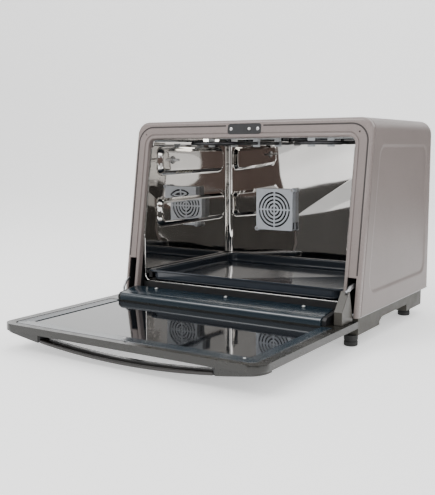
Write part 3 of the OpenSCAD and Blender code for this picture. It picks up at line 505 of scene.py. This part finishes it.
def outer_shell():
    """Shell skin with rolled rear edges, a rear wall and a soft-edged panel pressed into each side."""
    top_roll, side_roll = 18, 7
    turns, leg, across, length_steps = 10, 110, 30, 115
    window_half, window_z = 214, (24, 299)
    rows = []
    for k in range(turns + 1):
        a = math.pi / 2 * k / turns
        y = BODY_D - top_roll + top_roll * math.cos(a)
        side, top = side_roll * (1 - math.sin(a)), top_roll * (1 - math.sin(a))
        line = arch_line(BODY_HALF - side, 0, BODY_H - top, BODY_R - side / 2, leg, across)
        rows.append([shell_point(x, y, z) for x, z in line])
    line = arch_line(BODY_HALF, 0, BODY_H, BODY_R, leg, across)
    for j in range(1, length_steps + 1):
        t = j / length_steps
        row = []
        for x, z in line:
            y = (BODY_D - top_roll) * (1 - t) + raked_y(z, SHELL_FRONT_W) * t
            row.append(shell_point(x, y, z))
        rows.append(row)
    skin = Skin()
    skin.grid(rows)
    rear = arch_line(BODY_HALF - side_roll, 0, BODY_H - top_roll, BODY_R - side_roll / 2, leg, across)
    rear += between(rear[-1], rear[0], 2 * across)
    window = [
        (max(-window_half, min(window_half, x)), max(window_z[0], min(window_z[1], z))) for x, z in rear
    ]
    skin.grid([[at(x, BODY_D, z) for x, z in loop] for loop in (rear, window)], closed=True)
    obj = piece("shell", skin.mesh("shell"), SHELL, "case", ["outer_shell"])
    thicken(obj, 1.8)


def oven_point(p):
    """Millimetres of the oven frame for a point in metres of the row frame."""
    return p.x / MM, (p.y - FRONT_Y) / MM, (p.z - BASE_Z) / MM


def front_frame():
    """The frame's CAD mesh with its outer edge and the edges round the mouth rolled over."""
    outer_round, bead_round, near = 5.5, 2.6, 0.3
    mesh = NODES["front_frame"].data.copy()
    bm = bmesh.new()
    bm.from_mesh(mesh)
    bmesh.ops.remove_doubles(bm, verts=bm.verts, dist=WELD_GAP)
    bmesh.ops.dissolve_limit(bm, angle_limit=FLAT_ANGLE, verts=bm.verts, edges=bm.edges)

    def on_face(p):
        """Whether a point lies on the raked front face."""
        _, y, z = oven_point(p)
        return abs(y * math.cos(RAKE) - z * math.sin(RAKE)) < 0.1

    def edge_gap(p):
        """Distance from the frame's outer edge, round corners included."""
        x, _, z = oven_point(p)
        dx, dz = abs(x) - (BODY_HALF - BODY_R), z - (BODY_H - BODY_R)
        if dx > 0 and dz > 0:
            return BODY_R - math.hypot(dx, dz)
        return min(BODY_HALF - abs(x), BODY_H - z)

    def bead_gap(p):
        """Distance from the mouth's edge, and from the bead's outer edge."""
        x, y, z = oven_point(p)
        u = y * math.sin(RAKE) + z * math.cos(RAKE)
        dx, dz = abs(x) - (MOUTH_HALF - MOUTH_R), u - (MOUTH_TOP - MOUTH_R)
        reach = math.hypot(dx, dz) if dx > 0 and dz > 0 else max(dx, dz)
        return min(abs(reach - MOUTH_R), abs(reach - MOUTH_R - BEAD_W))

    bead = [e for e in bm.edges if all(on_face(v.co) and bead_gap(v.co) < near for v in e.verts)]
    bmesh.ops.bevel(bm, geom=bead, offset=bead_round * MM, segments=4, profile=0.5, affect="EDGES")
    outer = [e for e in bm.edges if all(on_face(v.co) and edge_gap(v.co) < near for v in e.verts)]
    bmesh.ops.bevel(bm, geom=outer, offset=outer_round * MM, segments=6, profile=0.5, affect="EDGES")
    bm.to_mesh(mesh)
    bm.free()
    mesh.shade_smooth()
    mesh.set_sharp_from_angle(angle=math.radians(32))
    # The frame wears the lighter copy of the shell paint, which is painted light on the front face.
    obj = piece("frame", mesh, FRAME_WITH_PAINTED_LIGHT, "case", ["front_frame"])
    soften(obj, 0.5)


RIBS = ((70, 230, 311, 282), (67, 125, 315, 181))  # y0, z0, y1, z1 of the pressed shelf ribs
RIB_D = 8.0
RIB_R = 14.0
RIB_SLOPE = 7.5
LINER_R = 12
BACK_R = 10
SHEET = 0.9                                       # thickness of the liner's and the tray's steel


def rib_rise(y, z):
    """How far the shelf ribs stand in from a side wall."""
    rise = 0.0
    for y0, z0, y1, z1 in RIBS:
        low_y, high_y, low_z, high_z = y0 + RIB_R, y1 - RIB_R, z0 + RIB_R, z1 - RIB_R
        corners = [(low_y, low_z), (high_y, low_z), (high_y, high_z), (low_y, high_z)]
        rise = max(rise, RIB_D * smooth(-outline_distance((y, z), corners, RIB_R) / RIB_SLOPE))
    return rise


def liner_front(z):
    """Where the liner starts: behind the lip at the top, on the side lips, and straight below them."""
    knee_low, knee_high, flange_top, low_y, top_w = 106, 110, 284, 26, 12.3
    if z > flange_top:
        return raked_y(z, top_w)
    t = max(0.0, min(1.0, (z - knee_low) / (knee_high - knee_low)))
    return low_y + (raked_y(max(z, knee_high), LIP_W) - low_y) * t


def liner_slots():
    """Cutters for the row of small slots in the left wall, above the upper rib."""
    count, pitch, first_y, z = 6, 10.5, 134, 233
    half_y, half_z, r = 2.5, 3.5, 2.4
    outside, inside = -CAVITY_HALF - 3, -CAVITY_HALF + 12
    slots = Skin()
    for i in range(count):
        y = first_y + pitch * i
        outline = rounded_line(y - half_y, z - half_z, y + half_y, z + half_z, r)
        rows = [[at(x, v, w) for v, w in outline] for x in (outside, inside)]
        slots.grid(rows, closed=True, caps=(True, True))
    return slots.mesh("slots")


def cavity_liner():
    """Polished liner: side walls with pressed ribs, floor, ceiling and a back wall with round edges."""
    upright, level, length_steps, turns = 96, 40, 96, 6
    rows = []
    half, low, high = CAVITY_HALF, CAVITY_FLOOR, CAVITY_TOP
    line = rounded_line(-half, low, half, high, LINER_R, upright, level, turns)
    for j in range(length_steps + 1):
        row = []
        for x, z in line:
            front = liner_front(z)
            y = front + (CAVITY_BACK - BACK_R - front) * j / length_steps
            rise = rib_rise(y, z) if abs(x) > CAVITY_HALF - 1 else 0
            row.append(at(x - math.copysign(rise, x), y, z))
        rows.append(row)
    for k in range(1, turns + 1):
        a = math.pi / 2 * k / turns
        inset = BACK_R * (1 - math.cos(a))
        half, low, high = CAVITY_HALF - inset, CAVITY_FLOOR + inset, CAVITY_TOP - inset
        ring = rounded_line(-half, low, half, high, LINER_R - inset, upright, level, turns)
        rows.append([at(x, CAVITY_BACK - BACK_R + BACK_R * math.sin(a), z) for x, z in ring])
    skin = Skin()
    skin.grid(rows, closed=True, caps=(False, True))
    stands_for = ["cavity_liner", "cavity_back"]
    obj = piece("liner", skin.mesh("liner"), LINER, "case", stands_for)
    thicken(obj, SHEET, outward=True)
    carve(obj, liner_slots())


def liner_flanges():
    """Narrow steel strips that close the gap between the liner's sides and the frame's lip."""
    z0, z1 = 112, 281
    front, back = LIP_W, LIP_W + SHEET
    section = [(CAVITY_HALF, front), (MOUTH_HALF, front), (MOUTH_HALF, back), (CAVITY_HALF, back)]
    skin = Skin()
    for side in (-1, 1):
        rows = [[at(side * x, raked_y(z, w), z) for x, w in section] for z in (z0, z1)]
        skin.grid(rows, closed=True, caps=(True, True))
    piece("liner_flanges", skin.mesh("liner_flanges"), LINER, "case", [])


def baking_tray():
    """Pressed tray with a rolled rim and round edges round its floor."""
    half, rim, y0, y1 = 202, 214, 28, 330
    top, bottom, fillet, curl = 41, 20.3, 7, 1.6
    wall_r, turns = 16, 6
    side_lip, back_lip = rim - half, (rim - half) / 2
    shoulder, shoulder_turns = 3, 4
    quarter = [math.pi / 2 * i / turns for i in range(turns + 1)]
    shoulder_quarter = [math.pi / 2 * i / shoulder_turns for i in range(1, shoulder_turns + 1)]

    def loop(out, z):
        """Outline of the tray grown by out; the rim grows less at the front than at the sides."""
        grow = max(out, 0) / side_lip
        r = max(2.0, wall_r + min(out, 0))
        inset = min(out, 0)
        reach = half + grow * side_lip + inset
        line = rounded_line(-reach, y0 - inset, reach, y1 + grow * back_lip + inset, r, 12, 16)
        return [at(x, y, z) for x, y in line]

    rows = [loop(side_lip, top - 2 * curl)]
    for a in quarter:
        rows.append(loop(side_lip - curl + curl * math.cos(a), top - curl + curl * math.sin(a)))
    rows.append(loop(shoulder, top))
    for a in shoulder_quarter:
        rows.append(loop(shoulder - shoulder * math.sin(a), top - shoulder + shoulder * math.cos(a)))
    for a in quarter:
        rows.append(loop(-fillet * (1 - math.cos(a)), bottom + 1 + fillet * (1 - math.sin(a))))
    skin = Skin()
    skin.grid(rows, closed=True, caps=(False, True))
    obj = piece("tray", skin.mesh("tray"), ENAMEL, "tray", ["baking_tray"])
    thicken(obj, SHEET, outward=True)


def feet():
    """Rubber feet with a groove round each and a soft lower edge."""
    skin = Skin()
    foot_h, r, table_z = 19, 12, -51
    profile = [(r - 4, 0.2), (r - 2.4, 0), (r - 0.8, 0.6), (r, 2), (r, 8), (r - 1, 8.6), (r - 1, 10.4),
               (r, 11), (r, foot_h)]
    for x, y in ((231, 18), (-231, 18), (222, 300), (-222, 300)):
        turned(skin, at(x, y, table_z), (0, 0, 1), profile)
    piece("rubber_feet", skin.mesh("rubber_feet", 50), RUBBER, "case", ["feet"])


# ---------------------------------------------------------------- door

DOOR_REACH = 320
DOOR_TOP = -5
SHELF_Z = -9.8
RAIL_Y = -60
LEDGE_NOSE_R = 6.5
LEDGE_NOSE_Y = RAIL_Y + LEDGE_NOSE_R
LEDGE_FRONT_Z = 8
LEDGE_BACK_Y = -8
LEDGE_BACK_Z = 15
LEDGE_SLOPE = (LEDGE_BACK_Z - LEDGE_FRONT_Z) / (LEDGE_BACK_Y - LEDGE_NOSE_Y)


def door_line(inset_side, inset_free, end_y, r, turns=8):
    """Outline of the open door from one hinge end round its free edge to the other."""
    half, y0 = BODY_HALF - inset_side, -DOOR_REACH + inset_free
    left = arc(-half + r, y0 + r, r, 180, 270, turns)
    right = arc(half - r, y0 + r, r, 270, 360, turns)
    start, end = (-half, end_y), (half, end_y)
    return (
        [start] + between(start, left[0], 8) + left + between(left[-1], right[0], 12)
        + right + between(right[-1], end, 8) + [end]
    )


def door_trim():
    """Band round the inner glass: a ridge by the rim, a flat slope, and a step down to the glass."""
    rim_side, rim_free, side_w, free_w = 17.5, 13.5, 20.5, 26.5
    outer_r, inner_r, end_y = 11, 3, RAIL_Y - 0.2
    ridge = [(0.02, -5.7), (0.05, -5.3), (0.09, -5.2), (0.14, -5.3), (0.18, -5.5)]
    section = [(0, SHELF_Z), (0, -6.4)] + ridge + [(0.93, -5.9), (0.97, -6.0), (1, -6.4), (1, SHELF_Z)]
    lines = []
    for t, z in section:
        r = outer_r - (outer_r - inner_r) * t
        line = door_line(rim_side + side_w * t, rim_free + free_w * t, end_y, r)
        lines.append([at(x, y, z) for x, y in line])
    rows = [list(row) for row in zip(*lines)]
    skin = Skin()
    skin.grid(rows, closed=True, caps=(True, True))
    piece("door_trim", skin.mesh("door_trim", 40), TRIM, "door", ["door_inner_trim"])


def extruded(skin, section, x0, x1):
    """Adds a closed section in Y and Z, drawn out along X."""
    skin.grid([[at(x, y, z) for y, z in section] for x in (x0, x1)], closed=True, caps=(True, True))


def ledge_top(y):
    """Height of the ledge's sloping top."""
    return LEDGE_FRONT_Z + LEDGE_SLOPE * (y - LEDGE_NOSE_Y)


def control_housing():
    """Ledge over the control board: bull-nosed front, a fine groove behind it and a sloping top."""
    half, groove, groove_depth = 211, -45, 0.7
    back_y, back_z = LEDGE_BACK_Y, LEDGE_BACK_Z
    section = [(RAIL_Y, DOOR_TOP)]
    section += arc(LEDGE_NOSE_Y, LEDGE_FRONT_Z - LEDGE_NOSE_R, LEDGE_NOSE_R, 180, 90, 10)
    for step, sink in ((0, 0), (0.3, groove_depth), (1.3, groove_depth), (1.6, 0)):
        section.append((groove + step, ledge_top(groove + step) - sink))
    section += [(back_y - 2, ledge_top(back_y - 2)), (back_y - 0.7, back_z - 0.9), (back_y, back_z - 2.2)]
    section.append((back_y, DOOR_TOP))
    skin = Skin()
    extruded(skin, section, -half, half)
    mesh = skin.mesh("control_ledge", 40)
    obj = piece("control_ledge", mesh, TRIM, "door", ["control_housing"])
    soften(obj, 0.4, 2, 50)


def control_dial():
    """Turned aluminium dial with a fluted skirt, on the door's outer face."""
    flutes, flute_depth, centre = 36, 0.3, at(96, -38, -30.1)
    r, top = 15.6, 13

    def ripple(a, r, h):
        return flute_depth * math.cos(flutes * a) if 3 < h < 10.5 and r > 14 else 0

    profile = [(3, 17), (3, top), (r - 1, top), (r, top - 0.6), (r, 10.6), (r, 10), (r - 0.1, 3.6)]
    profile += [(r - 0.3, 2.8), (r - 0.8, 1.2), (r - 1.8, 0.3), (r - 3, 0), (r - 4, 0.5), (2, 0.7)]
    skin = Skin()
    turned(skin, centre, (0, 0, 1), profile, steps=4 * flutes, ripple=ripple)
    piece("dial", skin.mesh("dial", 40), DIAL, "dial", ["control_dial"])


# ---------------------------------------------------------------- screws

def screws():
    """All visible screws, one piece for each group of the CAD."""
    leaning = (0, -math.cos(RAKE), math.sin(RAKE))
    ledge_up = (0, -LEDGE_SLOPE, 1)
    latch_x, latch_u, latch_w = 28.5, 320.5, 0.1
    trim_y, trim_z = -288, -6.1
    ledge_x, ledge_y = 158, -15
    grille_y, rear_y = 324, 365.2

    def on_face(x, u, w):
        """Point u up the raked face and w behind it."""
        return at(x, w * math.cos(RAKE) + u * math.sin(RAKE), u * math.cos(RAKE) - w * math.sin(RAKE))

    latch = [on_face(x, latch_u, latch_w) for x in (-latch_x, latch_x)]
    trim = [at(x, trim_y, trim_z) for x in (-218, -9, 206)]
    ledge = [at(x, ledge_y, ledge_top(ledge_y)) for x in (-ledge_x, 0, ledge_x)]
    grille = [at(x, grille_y, z) for x, z in ((-133.5, 102.5), (-44.5, 189.5))]
    rear_xz = [(x, 302) for x in (-216, -72, 72, 216)] + [(x, 21) for x in (-216, -72, 72)] + [(216, 64)]
    rear = [at(x, rear_y, z) for x, z in rear_xz]
    # Piece, CAD node, body, axis, (head radius, head height, shank radius, shank length), places.
    groups = [
        ("latch_plate_screws", "latch_screws", "case", leaning, (3, 0.7, 1.5, 3), latch),
        ("trim_screws", "door_trim_screws", "door", (0, 0, 1), (2.6, 1, 1.3, 3), trim),
        ("ledge_screws", "control_housing_screws", "door", ledge_up, (3.4, 1.8, 1.6, 4), ledge),
        ("grille_screws", "fan_cover_screws", "case", (0, -1, 0), (2.8, 1.6, 1.5, 14), grille),
        ("back_screws", "rear_screws", "case", (0, 1, 0), (3.6, 2.2, 1.7, 4), rear),
    ]
    for name, node, body, axis, size, places in groups:
        skin = Skin()
        for place in places:
            cross_screw(skin, place, axis, *size)
        piece(name, skin.mesh(name, 50), SCREW, body, [node])


outer_shell()
front_frame()
cavity_liner()
liner_flanges()
baking_tray()
feet()
door_trim()
control_housing()
control_dial()
screws()


# ---------------------------------------------------------------- stage, light and camera

def stage_floor():
    """A pale floor that curves up into a backdrop behind the oven."""
    half, front, back, top, bend = 6.0, -6.0, 3.5, 5.0, 1.5
    profile = [(front, 0.0), (back - bend, 0.0)]
    steps = 12
    for i in range(1, steps + 1):
        a = math.pi / 2 * i / steps
        profile.append((back - bend + bend * math.sin(a), bend - bend * math.cos(a)))
    profile.append((back, top))
    mesh = bpy.data.meshes.new("floor")
    verts = [(x, y, z) for y, z in profile for x in (-half, half)]
    faces = [(2 * i, 2 * i + 1, 2 * i + 3, 2 * i + 2) for i in range(len(profile) - 1)]
    mesh.from_pydata(verts, [], faces)
    mesh.shade_smooth()
    floor = bpy.data.objects.new("floor", mesh)
    bpy.context.scene.collection.objects.link(floor)
    white = (1, 1, 1, 1)
    mat = material("floor_paper", (0.93, 0.93, 0.925), 0.8, Emission_Color=white, Emission_Strength=0.6)
    bump(mat, noise(mat, 180), 0.0002)
    mesh.materials.append(mat)


def area_light(name, location, target, size, power):
    """White rectangular light in metres and watts, turned towards a target."""
    light = bpy.data.lights.new(name, "AREA")
    light.shape = "RECTANGLE"
    light.size, light.size_y = size
    light.energy = power
    obj = bpy.data.objects.new(name, light)
    obj.location = location
    obj.rotation_euler = (Vector(target) - Vector(location)).to_track_quat("-Z", "Y").to_euler()
    bpy.context.scene.collection.objects.link(obj)


def flag(name, color, start, end, low, high):
    """Upright cloth between two places on the floor plan, in millimetres; seen only in reflections."""
    (x0, y0), (x1, y1) = start, end
    mesh = bpy.data.meshes.new(name)
    corners = [at(x0, y0, low), at(x1, y1, low), at(x1, y1, high), at(x0, y0, high)]
    mesh.from_pydata(corners, [], [(0, 1, 2, 3)])
    cloth = bpy.data.objects.new(name, mesh)
    bpy.context.scene.collection.objects.link(cloth)
    mat = material(name + "_cloth", color, 0.9)
    bump(mat, noise(mat, 300), 0.0005)
    mesh.materials.append(mat)
    cloth.visible_camera = False
    cloth.visible_shadow = False
    cloth.visible_diffuse = False


def light_and_world():
    """Even white surroundings, four soft lights and three cloths that darken what the steel mirrors."""
    world = bpy.data.worlds.new("studio")
    world.use_nodes = True
    background = world.node_tree.nodes["Background"]
    background.inputs["Color"].default_value = (1, 1, 1, 1)
    background.inputs["Strength"].default_value = 0.9
    bpy.context.scene.world = world
    target = (0, 0, 0.2)
    # Name, place, target, size in metres, watts.
    area_light("key", (-1.2, -1.8, 2.4), target, (1.8, 1.2), 46)
    area_light("fill", (2.2, -1.2, 1.4), target, (1.2, 1.6), 14)
    area_light("top", (0, 0.3, 2.6), target, (2.0, 2.0), 30)
    area_light("front", (0.3, -3.2, 0.9), target, (1.6, 0.9), 18)
    black, brown = (0.03, 0.028, 0.026), (0.075, 0.052, 0.045)
    flag("low_flag", black, (-1400, -700), (720, -700), -20, 112)
    flag("brown_flag", brown, (110, -705), (760, -705), 112, 330)
    flag("side_flag", black, (350, 1400), (1900, 1400), 0, 700)


def camera():
    """Stands to the right of the oven and looks down at it a little, at the photographer's height."""
    data = bpy.data.cameras.new("camera")
    data.sensor_fit = "VERTICAL"
    data.sensor_height = 36
    data.lens = 56.33
    obj = bpy.data.objects.new("camera", data)
    obj.location = at(746.2, -1178.2, 281.4)
    pitch, roll, yaw = math.radians(-7.3), math.radians(-0.2), math.radians(33.27)
    tilt = Matrix.Rotation(math.pi / 2 + pitch, 4, "X") @ Matrix.Rotation(roll, 4, "Z")
    obj.rotation_euler = (Matrix.Rotation(yaw, 4, "Z") @ tilt).to_euler()
    bpy.context.scene.collection.objects.link(obj)
    bpy.context.scene.camera = obj


stage_floor()
light_and_world()
camera()

bpy.context.view_layer.update()
